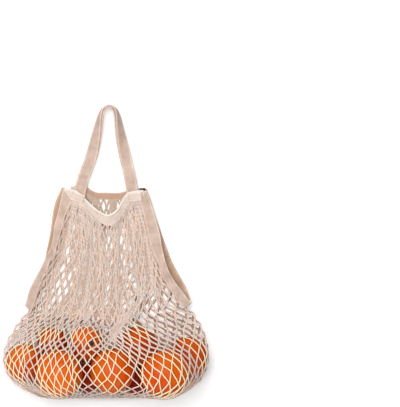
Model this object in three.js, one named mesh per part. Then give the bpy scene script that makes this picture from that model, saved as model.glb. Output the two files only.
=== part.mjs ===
// Cotton mesh grocery bag full of oranges, laid on its back. Millimetres, +Z up.
// The foot of the bag points to -Y and its handles to +Y, and the side that faces up is its front.
// The net and the oranges in it are one solid, out to the net's bulges. A woven tape binds the mouth of
// each panel, and the ends of the two handles are sewn under it, each below a small cover.
import * as THREE from "three";

// Cloth: the tape that binds the mouth, the handle straps, and how close two layers lie
const CLOTH = 2.2;
const LAYER_GAP = 0.3;
const MITRE_GAP = 0.003;
const STRAP_WIDTH = 19;

// Handles: the loop's height above the roots' line, how the strap turns on edge towards its top, and where
// the two straps part from each other
const HANDLE_FOOT = 84;
const HANDLE_TOP = 234.6;
const TWIST_START = 140;
const TWIST_POWER = 1.1;
const HANDLE_SPACING = 4.2;
const PARTING = [110, 160];

// Net: cord thickness over the fruit, how the free net sags at each facet, the wall at the bag's edge, and
// the flat back panel's height
const NET_CORD = 2.2;
const NET_SAG = 0.16;
const EDGE_WALL = 2;
const BACK_PANEL = 3;

// Side slits: from the rim's level down to the foot of the slit
const RIM_LEVEL = 60;
const SLIT_FOOT = -96;

// Oranges as [across, along, radius]. The lower ones lie on the floor, the last two of them in the gaps
// between the upper ones. Each upper one comes to rest on those under it.
const LOWER_ORANGES = [
  [-130, -178, 31],
  [-86, -145, 24],
  [-33, -149, 28.5],
  [52, -152, 32.5],
  [131, -169, 33],
  [-29, -198.5, 21.5],
  [49, -203, 20],
];
const UPPER_ORANGES = [
  [-73, -194, 39],
  [12, -190, 36.5],
  [95, -194, 39.5],
];

// Facets: net cells across and along, steps along each stretch of tape and along a handle
const NET_ACROSS = 40;
const NET_ALONG = 32;
const NET_FLAP = 3;
const RELAX_ROUNDS = 500;
const TAPE_STEPS = 16;
const HANDLE_STEPS = 84;

// Finishes
const COTTON = { color: 0xe9d3c1, roughness: 0.9, metalness: 0 };
const NET_AND_FRUIT = { color: 0xe39a5c, roughness: 0.8, metalness: 0 };
const LABEL_CLOTH = { color: 0x1c1c20, roughness: 0.85, metalness: 0 };

// Where the layers of cloth are stacked at a handle's root, the middle height of the nth from the floor
const stackHeight = (layer) => LAYER_GAP + CLOTH / 2 + layer * (CLOTH + LAYER_GAP);
const BACK_COVER = stackHeight(0);
const BACK_TAPE = stackHeight(1);
const BACK_STRAP = stackHeight(2);
const FRONT_STRAP = stackHeight(3);
const FRONT_TAPE = stackHeight(4);
const FRONT_COVER = stackHeight(5);

const { clamp, degToRad, lerp, smoothstep } = THREE.MathUtils;
const UP = new THREE.Vector3(0, 0, 1);
const spline = (points) =>
  new THREE.CatmullRomCurve3(points.map((p) => new THREE.Vector3(...p)), false, "centripetal");

// Closed surface from quads of corner points, each wound to face outwards.
function quadsToGeometry(quads) {
  const corners = quads.flatMap(([a, b, c, d]) => [a, b, c, a, c, d]);
  return new THREE.BufferGeometry().setFromPoints(corners);
}

// Strip of cloth through stations { left, right, up }: two edge points and the way its upper face looks.
function stripGeometry(stations, thickness) {
  const rings = stations.map(({ left, right, up }) => {
    const half = up.clone().multiplyScalar(thickness / 2);
    return [
      left.clone().add(half),
      right.clone().add(half),
      right.clone().sub(half),
      left.clone().sub(half),
    ];
  });
  const quads = [];
  for (let i = 0; i + 1 < rings.length; i++) {
    for (let k = 0; k < 4; k++) {
      const next = (k + 1) % 4;
      quads.push([rings[i][k], rings[i][next], rings[i + 1][next], rings[i + 1][k]]);
    }
  }
  const first = rings[0];
  const last = rings[rings.length - 1];
  quads.push([first[0], first[3], first[2], first[1]], [...last]);
  return quadsToGeometry(quads);
}

// Stations of a stretch of tape between its outer and inner edge. Each edge is a list of places seen from
// above, and a function gives its height there. Two stretches meet in a mitre, with a hair's gap.
function tapeStations({ outer, inner }, outerHeight, innerHeight = outerHeight) {
  const edge = (places, height) => {
    const line = spline(places.map(([x, y]) => [x, y, 0]));
    return Array.from({ length: TAPE_STEPS + 1 }, (_, i) => {
      const p = line.getPointAt(lerp(MITRE_GAP, 1 - MITRE_GAP, i / TAPE_STEPS));
      return p.setZ(height(p.x, p.y));
    });
  };
  const right = edge(inner, innerHeight);
  return edge(outer, outerHeight).map((left, i) => ({ left, right: right[i], up: UP }));
}

// How far a place is down a side slit, from 0 at the rim to 1 at the slit's foot
const downSlit = (y) => 1 - smoothstep(y, SLIT_FOOT, RIM_LEVEL);

// Front tape: up the left side from the foot of the side slit, along the scooped rim, down the right side.
// It lies on the stack at the handles' roots and climbs to the fruit, and the middle of the scoop stands up.
const FRONT_CLIMB = 4;
const SCOOP_LIFT = 4;
const SCOOP_MIDDLE = 8;
const SCOOP_END = 32;
const frontLeft = {
  outer: [
    [-130, -87], [-121, -58], [-103, -24], [-94, -4], [-87, 12], [-82.5, 44], [-76.5, 66], [-69.6, 101],
  ],
  inner: [[-119, -96], [-107, -60], [-94, -26], [-81, 1.6], [-73, 28], [-66, 54], [-55, 79]],
};
const frontRim = {
  outer: [
    [-69.6, 101], [-58, 98.6], [-47, 95.5], [-36, 85.5], [-25, 74.5], [-12, 64], [4, 57.5], [17, 65],
    [25, 77.5], [35, 92], [66.4, 98],
  ],
  inner: [[-55, 79], [-34, 69.5], [-20, 56], [-7, 45], [6, 41], [19, 48.5], [28, 62], [37, 76], [53.6, 80]],
};
const frontRight = {
  outer: [
    [66.4, 98], [74, 74], [80, 54], [86.5, 31], [90.5, 7], [97, -20], [104, -37], [115, -54], [138, -83],
  ],
  inner: [[53.6, 80], [60, 58], [66, 34], [73, 5], [85, -24], [98, -54], [126, -92]],
};
const frontHeight = (x, y) => FRONT_TAPE + FRONT_CLIMB * downSlit(y);
function scoopHeight(x, y) {
  const inScoop = 1 - smoothstep(Math.abs(x), SCOOP_MIDDLE, SCOOP_END);
  return frontHeight(x, y) + SCOOP_LIFT * inScoop;
}

// Back tape: the same round, on the floor and a little outside the front one. Its ends rise to the front
// tape's ends, and the covers under the handles' roots hold it up there.
const BACK_SIDE = 1.6;
const BACK_CLIMB = 8;
const BACK_CLIMB_TOP = -30;
const ROOT_ALONG = [40, 75];
const ROOT_ACROSS = [18, 33];
const backLeft = {
  outer: [[-128, -85], [-113, -43], [-99, -15], [-95, 4], [-90, 29], [-86.5, 56], [-82, 78], [-71, 103]],
  inner: [[-121, -93], [-105, -44], [-92, -17], [-85.5, 2], [-77, 28], [-71, 55], [-57, 88]],
};
const backRim = {
  outer: [
    [-71, 103], [-60, 98.5], [-50, 99], [-41, 104], [-34, 106], [-26, 100], [-16, 95], [0, 94.5], [20, 94],
    [36, 98], [65, 101],
  ],
  inner: [
    [-57, 88], [-50, 88], [-41, 91], [-34, 92.5], [-26, 88.5], [-14, 84], [0, 83], [20, 82.5], [36, 84.5],
    [54, 86],
  ],
};
const backRight = {
  outer: [
    [65, 101], [73, 79], [79, 59], [85.5, 40], [94, 15], [106, -16], [116, -36], [127, -55], [136, -78],
  ],
  inner: [[54, 86], [60, 68], [70, 38], [80, 8], [92, -22], [105, -49], [127, -88]],
};
function backHeight(x, y) {
  const atRoot = smoothstep(y, ...ROOT_ALONG) * smoothstep(Math.abs(x), ...ROOT_ACROSS);
  const atSlitFoot = 1 - smoothstep(y, SLIT_FOOT, BACK_CLIMB_TOP);
  return BACK_SIDE + (BACK_TAPE - BACK_SIDE) * atRoot + BACK_CLIMB * atSlitFoot;
}

// Middle line of the front handle's strap, seen from above, from its left root to its right one
const HANDLE_LINE = [
  [-44.5, HANDLE_FOOT], [-37.6, 113], [-24.2, 151], [-15.5, 190], [-10, 218], [-6, 228.5],
  [4.6, HANDLE_TOP],
  [15.2, 228.5], [19.4, 218], [24, 190], [31.4, 151], [39.6, 113], [44, HANDLE_FOOT],
];

// Stations of a handle. The strap lies flat at its roots and turns on edge at the top of the loop, with its
// inner edge rising. The second handle runs parallel below and inside the first.
function handleStations(rootHeight, isBack) {
  const line = spline(HANDLE_LINE.map(([x, y]) => [x, y, 0]));
  const stations = [];
  for (let i = 0; i <= HANDLE_STEPS; i++) {
    const middle = line.getPointAt(i / HANDLE_STEPS);
    const along = line.getTangentAt(i / HANDLE_STEPS);
    const inwards = new THREE.Vector3(along.y, -along.x, 0);
    const climb = clamp((middle.y - TWIST_START) / (HANDLE_TOP - TWIST_START), 0, 1);
    const turn = (Math.PI / 2) * climb ** TWIST_POWER;
    const across = inwards.multiplyScalar(Math.cos(turn)).addScaledVector(UP, Math.sin(turn));
    const up = across.clone().cross(along);
    const onFloor = (STRAP_WIDTH / 2) * Math.sin(turn) + (CLOTH / 2) * Math.cos(turn) + LAYER_GAP;
    middle.z = Math.max(FRONT_STRAP, onFloor + HANDLE_SPACING * Math.cos(turn));
    if (isBack) {
      const parted = smoothstep(middle.y, ...PARTING);
      middle.addScaledVector(up, -lerp(FRONT_STRAP - rootHeight, HANDLE_SPACING, parted));
    }
    stations.push({
      left: middle.clone().addScaledVector(across, -STRAP_WIDTH / 2),
      right: middle.clone().addScaledVector(across, STRAP_WIDTH / 2),
      up,
    });
  }
  return stations;
}

// Flat rectangle of cloth: its middle, length, width, slope in degrees and height.
function patchStations([x, y], length, width, degrees, height) {
  const turn = degToRad(degrees);
  const along = new THREE.Vector3(Math.cos(turn), Math.sin(turn), 0).multiplyScalar(length / 2);
  const across = new THREE.Vector3(-Math.sin(turn), Math.cos(turn), 0).multiplyScalar(width / 2);
  const middle = new THREE.Vector3(x, y, height);
  return [-1, 1].map((end) => {
    const point = middle.clone().addScaledVector(along, end);
    return { left: point.clone().add(across), right: point.clone().sub(across), up: UP };
  });
}

// Every orange as [x, y, z, radius]: an upper one sits as low as those already there let it.
function settledOranges() {
  const placed = LOWER_ORANGES.map(([x, y, r]) => [x, y, r, r]);
  for (const [x, y, r] of UPPER_ORANGES) {
    const rests = placed.map(([px, py, pz, pr]) => {
      const room = (r + pr) ** 2 - (x - px) ** 2 - (y - py) ** 2;
      return room > 0 ? pz + Math.sqrt(room) : r;
    });
    placed.push([x, y, Math.max(...rests), r]);
  }
  return placed;
}

// Height of the net where it lies on the oranges, or 0 beside them.
function heightOverFruit(oranges, x, y) {
  const heights = oranges.map(([ox, oy, oz, r]) => {
    const reach = (r + NET_CORD) ** 2 - (x - ox) ** 2 - (y - oy) ** 2;
    return reach > 0 ? oz + Math.sqrt(reach) : 0;
  });
  return Math.max(...heights);
}

// Outline of the filled net, as four edge curves whose height is that of the bag's edge
const NET_GAP = 0.7;
const FRONT_NET = FRONT_TAPE - CLOTH / 2;
const ROLL_END = { below: 14, above: 16 };
const FLAP_START = 0.02;
const netFoot = spline([
  [-150, -207, 34], [-129, -222, 40], [-104, -232.5, 46], [-78, -235.7, 46], [-48, -234.5, 40], [2, -234, 38],
  [49, -234.5, 40], [88, -235, 46], [127, -225, 42], [150, -208, 38],
]);
const sideBesideTape = (inner, shift) => inner.map(([x, y]) => [x + shift, y - NET_GAP, FRONT_NET]);
const netLeft = spline([
  [-150, -207, 34], [-160.5, -190, 31], [-164.3, -172, 30], [-160, -148, 28], [-148, -125, 24],
  [-135, -107, 17],
  ...sideBesideTape(frontLeft.inner, NET_GAP),
]);
const netRight = spline([
  [150, -208, 38], [161.5, -188, 36], [164.3, -162, 35], [161, -141, 31], [151, -115, 24], [141, -100, 17],
  ...sideBesideTape(frontRight.inner, -NET_GAP).reverse(),
]);
const netRim = spline([
  sideBesideTape(frontLeft.inner, NET_GAP).at(-1),
  ...frontRim.inner.slice(1, -1).map(([x, y]) => [x, y - NET_GAP, FRONT_NET]),
  sideBesideTape(frontRight.inner, -NET_GAP)[0],
]);
const backNetRim = spline([
  [-53, 85, BACK_PANEL],
  ...backRim.inner.slice(1, -1).map(([x, y]) => [x, y - NET_GAP, BACK_PANEL]),
  [51.6, 84.5, BACK_PANEL],
]);

// Grid of points between four edge curves, each interior point blended from all four.
function coonsGrid(foot, rim, left, right, across, along) {
  const [f, r] = [foot, rim].map((c) => c.getSpacedPoints(across));
  const [l, t] = [left, right].map((c) => c.getSpacedPoints(along));
  return l.map((_, j) => {
    const v = j / along;
    return f.map((_, i) => {
      const u = i / across;
      return new THREE.Vector3()
        .addScaledVector(f[i], 1 - v)
        .addScaledVector(r[i], v)
        .addScaledVector(l[j], 1 - u)
        .addScaledVector(t[j], u)
        .addScaledVector(f[0], -(1 - u) * (1 - v))
        .addScaledVector(f[across], -u * (1 - v))
        .addScaledVector(r[0], -(1 - u) * v)
        .addScaledVector(r[across], -u * v);
    });
  });
}

// The net as a film drawn over the fruit: each inner point takes the mean height of its neighbours, less a
// little sag, and stays on or above the oranges.
function drapeOverFruit(grid, oranges) {
  const floors = grid.map((row) => row.map((p) => heightOverFruit(oranges, p.x, p.y)));
  for (let round = 0; round < RELAX_ROUNDS; round++) {
    for (let j = 1; j + 1 < grid.length; j++) {
      for (let i = 1; i + 1 < grid[j].length; i++) {
        const mean = (grid[j - 1][i].z + grid[j + 1][i].z + grid[j][i - 1].z + grid[j][i + 1].z) / 4;
        grid[j][i].z = Math.max(mean - NET_SAG, floors[j][i], FRONT_NET / 2);
      }
    }
  }
}

// The back panel under a grid: flat on the floor, and rolled up round the bag's edge.
function backSurface(top, outline) {
  return top.map((row, j) =>
    row.map((p, i) => {
      const isEdge = j === 0 || i === 0 || i === row.length - 1;
      const nearest = outline.reduce((best, q) =>
        Math.hypot(q.x - p.x, q.y - p.y) < Math.hypot(best.x - p.x, best.y - p.y) ? q : best);
      const flatness = smoothstep(nearest.y, SLIT_FOOT - ROLL_END.below, SLIT_FOOT + ROLL_END.above);
      const rolled = lerp(nearest.z - EDGE_WALL, LAYER_GAP, flatness);
      const inset = isEdge ? 0 : Math.hypot(nearest.x - p.x, nearest.y - p.y);
      const share = Math.max(0, 1 - inset / Math.max(rolled, 1));
      return new THREE.Vector3(p.x, p.y, rolled * (1 - Math.sqrt(1 - share ** 2)));
    }),
  );
}

// The filled net: a film over the oranges in front, the flat panel behind, and a flap of the back panel that
// shows above the scooped front rim.
function netGeometry() {
  const front = coonsGrid(netFoot, netRim, netLeft, netRight, NET_ACROSS, NET_ALONG);
  drapeOverFruit(front, settledOranges());
  const outline = [...front[0], ...front.map((row) => row[0]), ...front.map((row) => row[NET_ACROSS])];
  const frontRimRow = front[NET_ALONG];
  const backRimRow = backNetRim.getSpacedPoints(NET_ACROSS);
  const flap = [];
  for (let j = 0; j <= NET_FLAP; j++) {
    const share = Math.max(j / NET_FLAP, FLAP_START);
    flap.push(frontRimRow.map((p, i) => p.clone().lerp(backRimRow[i], share).setZ(BACK_PANEL)));
  }
  const top = [...front, ...flap];
  const bottom = [
    ...backSurface(front, outline),
    ...flap.map((row) => row.map((p) => p.clone().setZ(LAYER_GAP))),
  ];
  const quads = [];
  const lastRow = top.length - 1;
  for (let j = 0; j < lastRow; j++) {
    for (let i = 0; i < NET_ACROSS; i++) {
      quads.push([top[j][i], top[j][i + 1], top[j + 1][i + 1], top[j + 1][i]]);
      quads.push([bottom[j][i], bottom[j + 1][i], bottom[j + 1][i + 1], bottom[j][i + 1]]);
    }
    quads.push([top[j][0], top[j + 1][0], bottom[j + 1][0], bottom[j][0]]);
    const k = NET_ACROSS;
    quads.push([bottom[j][k], bottom[j + 1][k], top[j + 1][k], top[j][k]]);
  }
  for (let i = 0; i < NET_ACROSS; i++) {
    quads.push([bottom[0][i], bottom[0][i + 1], top[0][i + 1], top[0][i]]);
    quads.push([top[lastRow][i], top[lastRow][i + 1], bottom[lastRow][i + 1], bottom[lastRow][i]]);
  }
  return quadsToGeometry(quads);
}

// The small covers sewn over the ends of the straps, and the plain cloth label beside the right corner
const COVER = { length: 21, width: 14 };
const FRONT_ROOTS = { left: { place: [-45, 86.5], slope: -21 }, right: { place: [47, 87.5], slope: 6 } };
const BACK_ROOTS = { left: { place: [-46, 98.8], slope: 5 }, right: { place: [47, 94], slope: 3 } };
const LABEL = { place: [58.6, 96.6], length: 8.8, width: 8, slope: 3, height: FRONT_STRAP };

function coverStations({ place, slope }, height) {
  return patchStations(place, COVER.length, COVER.width, slope, height);
}

const bag = new THREE.Group();

function addPiece(name, geometry, finish) {
  const mesh = new THREE.Mesh(geometry, new THREE.MeshStandardMaterial(finish));
  mesh.name = name;
  bag.add(mesh);
}

const addCloth = (name, stations, finish = COTTON) => addPiece(name, stripGeometry(stations, CLOTH), finish);

addPiece("bag_net", netGeometry(), NET_AND_FRUIT);
addCloth("side_front_left", tapeStations(frontLeft, frontHeight));
addCloth("rim_front", tapeStations(frontRim, scoopHeight, frontHeight));
addCloth("side_front_right", tapeStations(frontRight, frontHeight));
addCloth("side_back_left", tapeStations(backLeft, backHeight));
addCloth("rim_back", tapeStations(backRim, backHeight));
addCloth("side_back_right", tapeStations(backRight, backHeight));
addCloth("handle_front", handleStations(FRONT_STRAP, false));
addCloth("handle_back", handleStations(BACK_STRAP, true));
addCloth("cover_front_left", coverStations(FRONT_ROOTS.left, FRONT_COVER));
addCloth("cover_front_right", coverStations(FRONT_ROOTS.right, FRONT_COVER));
addCloth("cover_back_left", coverStations(BACK_ROOTS.left, BACK_COVER));
addCloth("cover_back_right", coverStations(BACK_ROOTS.right, BACK_COVER));
addCloth(
  "rim_label",
  patchStations(LABEL.place, LABEL.length, LABEL.width, LABEL.slope, LABEL.height),
  LABEL_CLOTH,
);

export default bag;
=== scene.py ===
import bpy
import numpy as np
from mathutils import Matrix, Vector


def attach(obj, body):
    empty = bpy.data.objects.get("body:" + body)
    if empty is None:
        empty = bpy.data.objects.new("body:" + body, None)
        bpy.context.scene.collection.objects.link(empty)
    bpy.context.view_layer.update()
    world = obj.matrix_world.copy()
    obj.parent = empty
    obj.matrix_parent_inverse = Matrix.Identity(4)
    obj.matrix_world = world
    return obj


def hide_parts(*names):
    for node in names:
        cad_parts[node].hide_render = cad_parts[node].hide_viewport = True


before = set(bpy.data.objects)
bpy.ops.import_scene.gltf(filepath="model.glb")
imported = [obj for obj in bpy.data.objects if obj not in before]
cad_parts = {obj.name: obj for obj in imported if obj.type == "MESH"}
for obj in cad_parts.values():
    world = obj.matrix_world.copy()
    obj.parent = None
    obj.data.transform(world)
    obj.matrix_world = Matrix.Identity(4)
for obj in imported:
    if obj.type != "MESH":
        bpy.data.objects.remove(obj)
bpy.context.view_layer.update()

# Table top, lights and camera: the full bag lies on a plain white table. The table glows to the camera only,
# painted light that washes out its shadows, and the glow fades out under the fruit, so the table there is
# darker: painted shade under and between the fruit. A large soft light hangs beyond the handles and a weak
# one stands before the foot.
# The camera looks straight down on the bag's front from far off, with the bag in the left half of the
# picture.
MM = 0.001
PIXEL = 1.6 * MM
PICTURE_HEIGHT = 407 * PIXEL
PICTURE_MIDDLE = (151.2 * MM, 76.8 * MM)
CAMERA_HEIGHT = 6.0
FOCUS_HEIGHT = 40 * MM
SENSOR_HEIGHT = 36
TABLE_HALF = 2.5
TABLE_TONE = (0.68, 0.68, 0.68, 1)
TABLE_GLOW = 0.38
POUCH_MIDDLE = -184 * MM
POUCH_SIZE = (175 * MM, 58 * MM)
POUCH_SHADE = (0.8, 1.05)
WHITE = (1, 1, 1, 1)
SKY_STRENGTH = 0.11
SOFTBOXES = {
    "main_softbox": {"place": (-0.35, 0.5, 2.0), "size": (2.4, 2.0), "power": 70},
    "foot_softbox": {"place": (0.2, -1.7, 0.8), "size": (1.6, 0.9), "power": 13},
}

scene = bpy.context.scene
scene.view_settings.view_transform = "Standard"


def set_inputs(node, values):
    """Puts values on a shader node's input sockets."""
    for socket, value in values.items():
        node.inputs[socket].default_value = value


def new_material(name, values):
    """Material whose Principled shader has these values, with its node tree and that shader."""
    material = bpy.data.materials.new(name)
    material.use_nodes = True
    shader = material.node_tree.nodes["Principled BSDF"]
    set_inputs(shader, values)
    return material, material.node_tree, shader


def add_node(tree, kind, values=None, **settings):
    """Shader node of that kind in a tree, with its settings and values on its input sockets."""
    node = tree.nodes.new(f"ShaderNode{kind}")
    for setting, value in settings.items():
        setattr(node, setting, value)
    set_inputs(node, values or {})
    return node


def wire(tree, *runs):
    """Links in a tree, each from an output of one node to an input of another."""
    for source, output, target, socket in runs:
        tree.links.new(source.outputs[output], target.inputs[socket])


def add_object(name, verts, faces, material):
    """Object at the origin with a mesh of these points and faces."""
    mesh = bpy.data.meshes.new(name)
    mesh.from_pydata(np.asarray(verts).tolist(), [], faces)
    mesh.materials.append(material)
    piece = bpy.data.objects.new(name, mesh)
    scene.collection.objects.link(piece)
    return piece


# Painted light: the table's emission reaches camera rays only and lifts its shadows. It fades to none under
# the fruit, which leaves painted shade there.
table_white, tree, shader = new_material(
    "table_white", {"Roughness": 0.85, "Base Color": TABLE_TONE, "Emission Color": WHITE})
place = add_node(tree, "TexCoord")
round_pouch = add_node(tree, "Mapping", {
    "Location": (0, -POUCH_MIDDLE / POUCH_SIZE[1], 0), "Scale": (1 / POUCH_SIZE[0], 1 / POUCH_SIZE[1], 0)})
from_pouch = add_node(tree, "VectorMath", operation="LENGTH")
painted_glow_share = add_node(
    tree, "MapRange", {"From Min": POUCH_SHADE[0], "From Max": POUCH_SHADE[1], "To Max": TABLE_GLOW},
    interpolation_type="SMOOTHSTEP")
seen = add_node(tree, "LightPath")
glow = add_node(tree, "Math", operation="MULTIPLY")
wire(tree,
     (place, "Object", round_pouch, "Vector"),
     (round_pouch, "Vector", from_pouch, 0),
     (from_pouch, "Value", painted_glow_share, "Value"),
     (seen, "Is Camera Ray", glow, 0),
     (painted_glow_share, "Result", glow, 1),
     (glow, 0, shader, "Emission Strength"))
corners = np.array([[-1, -1, 0], [1, -1, 0], [1, 1, 0], [-1, 1, 0]]) * TABLE_HALF
table = add_object("table", corners, [[0, 1, 2, 3]], table_white)

world = bpy.data.worlds.new("pale_sky")
world.use_nodes = True
set_inputs(world.node_tree.nodes["Background"], {"Color": WHITE, "Strength": SKY_STRENGTH})
scene.world = world

for name, box in SOFTBOXES.items():
    light = bpy.data.lights.new(name, "AREA")
    light.shape = "RECTANGLE"
    light.size, light.size_y = box["size"]
    light.energy = box["power"]
    softbox = bpy.data.objects.new(name, light)
    softbox.location = box["place"]
    softbox.rotation_euler = (-Vector(box["place"])).to_track_quat("-Z", "Y").to_euler()
    scene.collection.objects.link(softbox)

camera = bpy.data.cameras.new("camera")
camera.sensor_fit = "VERTICAL"
camera.sensor_height = SENSOR_HEIGHT
camera.lens = SENSOR_HEIGHT * (CAMERA_HEIGHT - FOCUS_HEIGHT) / PICTURE_HEIGHT
camera_object = bpy.data.objects.new("camera", camera)
camera_object.location = (*PICTURE_MIDDLE, CAMERA_HEIGHT)
scene.collection.objects.link(camera_object)
scene.camera = camera_object

# Oranges: ten ripe fruit of uneven size, a little flattened, with pitted waxy peel. The lower ones lie on the
# back net, and each upper one rests on those under it. The one stem end that shows has its dry green calyx.
# Each is given by its place across and along the bag and its radius.
CORD_RADIUS = 0.97 * MM
LOWER_ORANGES = np.array([
    [-130, -178, 31], [-86, -145, 24], [-33, -149, 28.5], [52, -152, 32.5], [131, -169, 33],
    [-29, -203, 24.5], [50, -207.5, 22.5]]) * MM
UPPER_ORANGES = np.array([[-73, -194, 39], [12, -190, 36.5], [95, -194, 39.5]]) * MM
STEM_ENDS = np.array([
    [-0.5, 0.6, -0.6], [0.2, 0.9, -0.3], [0.40, 0.09, 0.91], [0.5, 0.5, -0.7], [0.8, 0.5, -0.3],
    [0.3, 0.4, -0.8], [-0.4, 0.3, -0.8], [-0.7, -0.6, -0.4], [0.4, -0.8, -0.5], [0.6, -0.75, -0.2]])
# Share by which each peel darkens towards a deep red. It is painted shade, full on the two low fruit deep in
# the gaps. On the other fruit it is part shade and part the fruit's own deeper tone.
DARK_TONE_AND_SHADE = [0.12, 0.5, 0, 0.35, 0.25, 1, 1, 0, 0.1, 0.1]
ANY_SIDE = (0.3, 0.8, 0.52)
ORANGE_ROWS = 42
ORANGE_COLUMNS = 72
ORANGE_FULL = 0.985
ORANGE_FLAT = 0.965
ORANGE_LUMPS = (0.010, 0.007, 0.006, 0.004)
STEM_DIP = {"depth": 0.045, "width": 0.16}
BASE_DIP = {"depth": 0.02, "width": 0.12}
PEEL_DEEP = (0.57, 0.059, 0.0006, 1)
PEEL_LIGHT = (0.65, 0.131, 0.0012, 1)
PEEL_DARK_AND_SHADED = (0.26, 0.012, 0.0004, 1)
PORE_SHADE = (0.72, 0.72, 0.72, 1)
SHOWN_STEM = 2
STEM_POLE = 0.924
CALYX_RADIUS = 5 * MM
CALYX_COLUMNS = 40
CALYX_TIPS = 5
CALYX_CUT = 0.14
CALYX_REACH = np.array([0.2, 0.27, 0.31, 0.5, 0.75, 1.0, 0.9, 0.5])
CALYX_HEIGHT = np.array([1.9, 1.7, 0.9, 0.8, 0.6, 0.2, -0.6, -0.8]) * MM
CALYX_DARK = (0.008, 0.014, 0.008, 1)
CALYX_GREEN = (0.035, 0.040, 0.018, 1)
MIX_A, MIX_B, MIX_RESULT = 6, 7, 2


def settled(lower, upper):
    """Centres and radii of all fruit. A lower one touches the floor, and an upper one drops until it meets
    another: its height is the largest of those at which two radii just reach between the centres."""
    placed = np.column_stack([lower, lower[:, 2]])[:, [0, 1, 3, 2]]
    for x, y, radius in upper:
        apart = (placed[:, 0] - x) ** 2 + (placed[:, 1] - y) ** 2
        room = np.maximum((placed[:, 3] + radius) ** 2 - apart, 0)
        height = np.where(room > 0, placed[:, 2] + np.sqrt(room), radius).max()
        placed = np.vstack([placed, [x, y, height, radius]])
    return placed


def turn_from_z(direction):
    """Rotation whose third column is the given direction, with the others square to it."""
    z = direction / np.linalg.norm(direction)
    x = np.cross(ANY_SIDE, z)
    x /= np.linalg.norm(x)
    return np.column_stack([x, np.cross(z, x), z])


def dip_at(angle, depth, width):
    """Bell-shaped dip by the angle from a pole."""
    return depth * np.exp(-((angle / width) ** 2))


def orange_points(radius, stem, seed):
    """Ball from stem to base: the radius has a few broad lumps, sines of the two angles, and a dip at each
    pole, and the ball is flattened along the stem's axis. One point at each pole, rows of points between."""
    phase = np.random.default_rng(seed).uniform(0, 2 * np.pi, len(ORANGE_LUMPS))
    polar = np.linspace(0, np.pi, ORANGE_ROWS + 2)[:, None]
    turn = np.linspace(0, 2 * np.pi, ORANGE_COLUMNS, endpoint=False)[None]
    ring = np.sin(polar)
    waves = (2 * turn, 3 * turn + 2 * polar, 4 * polar, 7 * turn)
    lumps = ring * sum(lump * np.sin(wave + at) for lump, wave, at in zip(ORANGE_LUMPS, waves, phase))
    size = radius * (ORANGE_FULL + lumps - dip_at(polar, **STEM_DIP) - dip_at(np.pi - polar, **BASE_DIP))
    ball = np.stack(
        [size * ring * np.cos(turn), size * ring * np.sin(turn), ORANGE_FLAT * size * np.cos(polar)], -1)
    points = np.vstack([ball[0, :1], ball[1:-1].reshape(-1, 3), ball[-1, :1]])
    return points @ turn_from_z(stem).T


def ball_faces(rows, columns):
    """Faces of a ball with one point at each pole: a fan of triangles round each, quads between the rows."""
    index = 1 + np.arange(rows * columns).reshape(rows, columns)
    beside = np.roll(index, -1, axis=1)
    quads = np.stack([index[:-1], index[1:], beside[1:], beside[:-1]], -1).reshape(-1, 4)
    first = np.stack([np.zeros(columns, int), index[0], beside[0]], -1)
    last = np.stack([index[-1], np.full(columns, rows * columns + 1), beside[-1]], -1)
    return quads.tolist() + first.tolist() + last.tolist()


def calyx_points():
    """Dry calyx with the stub of its stalk: rings whose radius is cut in between the tips by a cosine of the
    angle times the number of tips, more so towards the rim, over a flat underside."""
    share = CALYX_REACH[:, None]
    height = CALYX_HEIGHT[:, None]
    turn = np.linspace(0, 2 * np.pi, CALYX_COLUMNS, endpoint=False)[None]
    reach = CALYX_RADIUS * share * (1 - CALYX_CUT * (1 - np.cos(CALYX_TIPS * turn)) * share**2)
    rings = np.stack([reach * np.cos(turn), reach * np.sin(turn), height + 0 * turn], -1)
    return np.vstack([[0, 0, CALYX_HEIGHT[0]], rings.reshape(-1, 3), [0, 0, CALYX_HEIGHT[-1]]])


def add_ramp(tree, *stops):
    """Colour ramp in a tree between two stops, each a position and a colour."""
    node = add_node(tree, "ValToRGB")
    for element, (position, colour) in zip(node.color_ramp.elements, stops):
        element.position = position
        element.color = colour
    return node


fruit = settled(LOWER_ORANGES, UPPER_ORANGES) + np.array([0, 0, CORD_RADIUS, 0])

peel, tree, shader = new_material("orange_peel", {
    "Roughness": 0.4, "Specular IOR Level": 0.14, "Subsurface Weight": 0.12,
    "Subsurface Radius": (0.006, 0.0025, 0.001)})
place = add_node(tree, "TexCoord")
blush = add_node(tree, "TexNoise", {"Scale": 22, "Detail": 3})
blush_tone = add_ramp(tree, (0.3, PEEL_DEEP), (0.7, PEEL_LIGHT))
# Each fruit's darkening share, painted shade in part, mixes its peel towards a deep red.
dark_and_shaded = add_node(tree, "Attribute", attribute_name="dark_and_shaded")
dark_and_shaded_tone = add_node(tree, "Mix", {MIX_B: PEEL_DARK_AND_SHADED}, data_type="RGBA")
pores = add_node(tree, "TexVoronoi", {"Scale": 620, "Randomness": 0.9})
pore_tone = add_ramp(tree, (0.05, PORE_SHADE), (0.42, WHITE))
pore_shade = add_node(tree, "Mix", {"Factor": 0.55}, data_type="RGBA", blend_type="MULTIPLY")
pitted = add_node(tree, "Bump", {"Strength": 0.35, "Distance": 0.0006})
wire(tree,
     (place, "Object", blush, "Vector"),
     (place, "Object", pores, "Vector"),
     (blush, "Fac", blush_tone, "Fac"),
     (pores, "Distance", pore_tone, "Fac"),
     (dark_and_shaded, "Fac", dark_and_shaded_tone, "Factor"),
     (blush_tone, "Color", dark_and_shaded_tone, MIX_A),
     (dark_and_shaded_tone, MIX_RESULT, pore_shade, MIX_A),
     (pore_tone, "Color", pore_shade, MIX_B),
     (pore_shade, MIX_RESULT, shader, "Base Color"),
     (pore_tone, "Color", pitted, "Height"),
     (pitted, "Normal", shader, "Normal"))

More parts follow.
